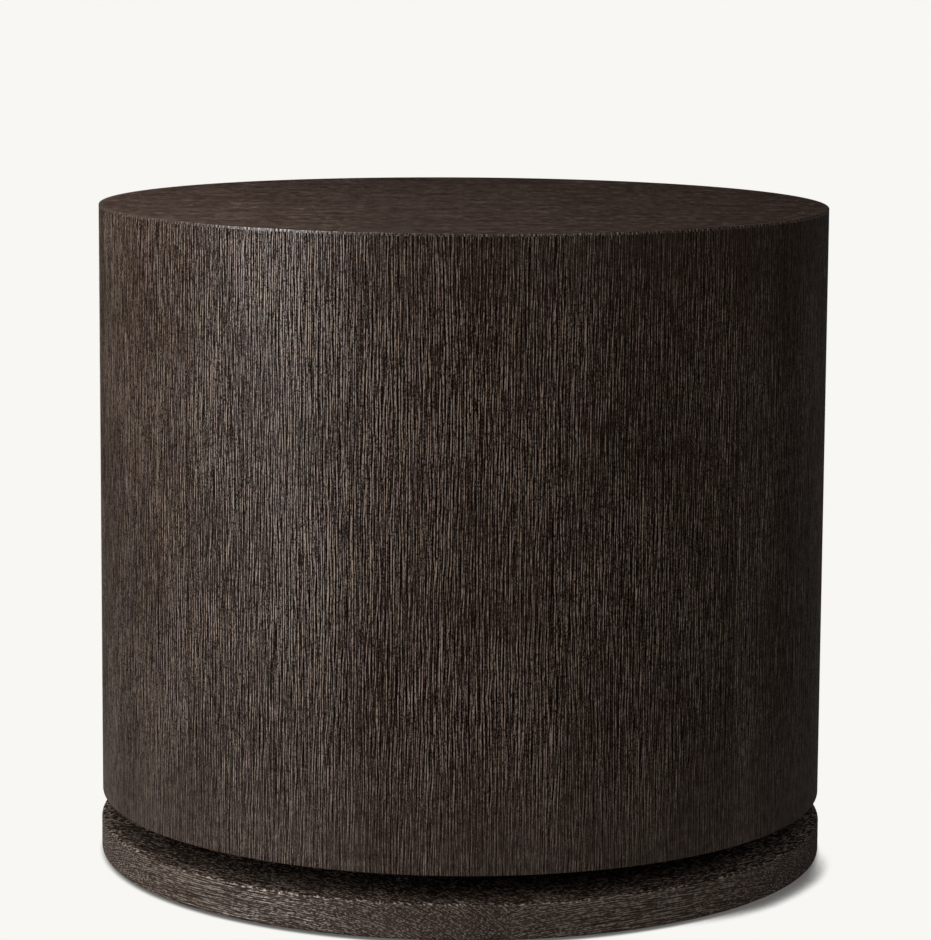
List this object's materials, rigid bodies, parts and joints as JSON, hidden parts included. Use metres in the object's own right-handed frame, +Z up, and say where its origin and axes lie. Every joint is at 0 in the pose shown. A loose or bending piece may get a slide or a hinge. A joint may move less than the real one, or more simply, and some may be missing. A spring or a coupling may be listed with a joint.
{
  "type": "drum coffee table",
  "caption": "Round drum coffee table in dark brushed oak veneer, with a shadow gap over a solid oak base on levelling feet.",
  "frame": {"origin": "on the floor under the middle of the table, with the feet screwed in", "axes": "+Z up along the axis of the drum, -Y towards the front, +X to the right seen from the front; the grain of the top runs along X"},
  "size_m": [0.612, 0.612, 0.55],
  "materials": {
    "oak_top": "wire-brushed dark oak veneer, grain left to right",
    "oak_side": "wire-brushed dark oak veneer, vertical grain",
    "oak_base": "wire-brushed solid dark oak",
    "fibreboard": "raw medium density board",
    "plywood": "raw birch plywood",
    "softwood": "planed softwood",
    "black_board": "board painted matt black",
    "nylon": "moulded black nylon",
    "zinc_steel": "zinc-plated steel",
    "yellow_steel": "yellow passivated steel screws"
  },
  "bodies": {
    "table": {"top_veneer_1": "oak_top", "top_veneer_2": "oak_top", "top_veneer_3": "oak_top", "top_veneer_4": "oak_top", "top_veneer_5": "oak_top", "side_veneer_1": "oak_side", "side_veneer_2": "oak_side", "side_veneer_3": "oak_side", "side_veneer_4": "oak_side", "side_veneer_5": "oak_side", "side_veneer_6": "oak_side", "side_veneer_7": "oak_side", "side_veneer_8": "oak_side", "side_veneer_9": "oak_side", "side_veneer_10": "oak_side", "side_veneer_11": "oak_side", "side_veneer_12": "oak_side", "top_panel": "fibreboard", "wall_shell_1": "plywood", "wall_shell_2": "plywood", "wall_shell_3": "plywood", "wall_shell_4": "plywood", "upper_former": "plywood", "middle_former": "plywood", "stud_1": "softwood", "stud_2": "softwood", "stud_3": "softwood", "stud_4": "softwood", "stud_5": "softwood", "stud_6": "softwood", "stud_7": "softwood", "stud_8": "softwood", "drum_floor": "black_board", "neck_ring": "black_board", "base_segment_1": "oak_base", "base_segment_2": "oak_base", "base_segment_3": "oak_base", "base_segment_4": "oak_base", "base_tongue_1": "softwood", "base_tongue_2": "softwood", "base_tongue_3": "softwood", "base_tongue_4": "softwood", "base_core": "black_board", "leveller_inserts": "zinc_steel", "hex_bolts": "zinc_steel", "bolt_washers": "zinc_steel", "flanged_nuts": "zinc_steel", "top_screws": "yellow_steel", "floor_screws": "yellow_steel"},
    "pad_1": {"leveller_pad_1": "nylon"},
    "stem_1": {"leveller_stem_1": "zinc_steel"},
    "pad_2": {"leveller_pad_2": "nylon"},
    "stem_2": {"leveller_stem_2": "zinc_steel"},
    "pad_3": {"leveller_pad_3": "nylon"},
    "stem_3": {"leveller_stem_3": "zinc_steel"},
    "pad_4": {"leveller_pad_4": "nylon"},
    "stem_4": {"leveller_stem_4": "zinc_steel"}
  },
  "joints": [
    {"name": "foot_1_out", "type": "slide", "parent": "table", "child": "pad_1", "axis": [0, 0, -1], "range_m": [0, 0.008]},
    {"name": "foot_1_turn", "type": "hinge", "parent": "pad_1", "child": "stem_1", "pos_m": [0.20283, -0.1562, 0.005], "axis": [0, 0, -1], "range_deg": [-10, 2314]},
    {"name": "foot_2_out", "type": "slide", "parent": "table", "child": "pad_2", "axis": [0, 0, -1], "range_m": [0, 0.008]},
    {"name": "foot_2_turn", "type": "hinge", "parent": "pad_2", "child": "stem_2", "pos_m": [0.1562, 0.20283, 0.005], "axis": [0, 0, -1], "range_deg": [-10, 2314]},
    {"name": "foot_3_out", "type": "slide", "parent": "table", "child": "pad_3", "axis": [0, 0, -1], "range_m": [0, 0.008]},
    {"name": "foot_3_turn", "type": "hinge", "parent": "pad_3", "child": "stem_3", "pos_m": [-0.20283, 0.1562, 0.005], "axis": [0, 0, -1], "range_deg": [-10, 2314]},
    {"name": "foot_4_out", "type": "slide", "parent": "table", "child": "pad_4", "axis": [0, 0, -1], "range_m": [0, 0.008]},
    {"name": "foot_4_turn", "type": "hinge", "parent": "pad_4", "child": "stem_4", "pos_m": [-0.1562, -0.20283, 0.005], "axis": [0, 0, -1], "range_deg": [-10, 2314]}
  ],
  "couplings": [
    {"joint": "foot_1_turn", "follows": "foot_1_out", "rad_per_m": 5026.5},
    {"joint": "foot_2_turn", "follows": "foot_2_out", "rad_per_m": 5026.5},
    {"joint": "foot_3_turn", "follows": "foot_3_out", "rad_per_m": 5026.5},
    {"joint": "foot_4_turn", "follows": "foot_4_out", "rad_per_m": 5026.5}
  ]
}
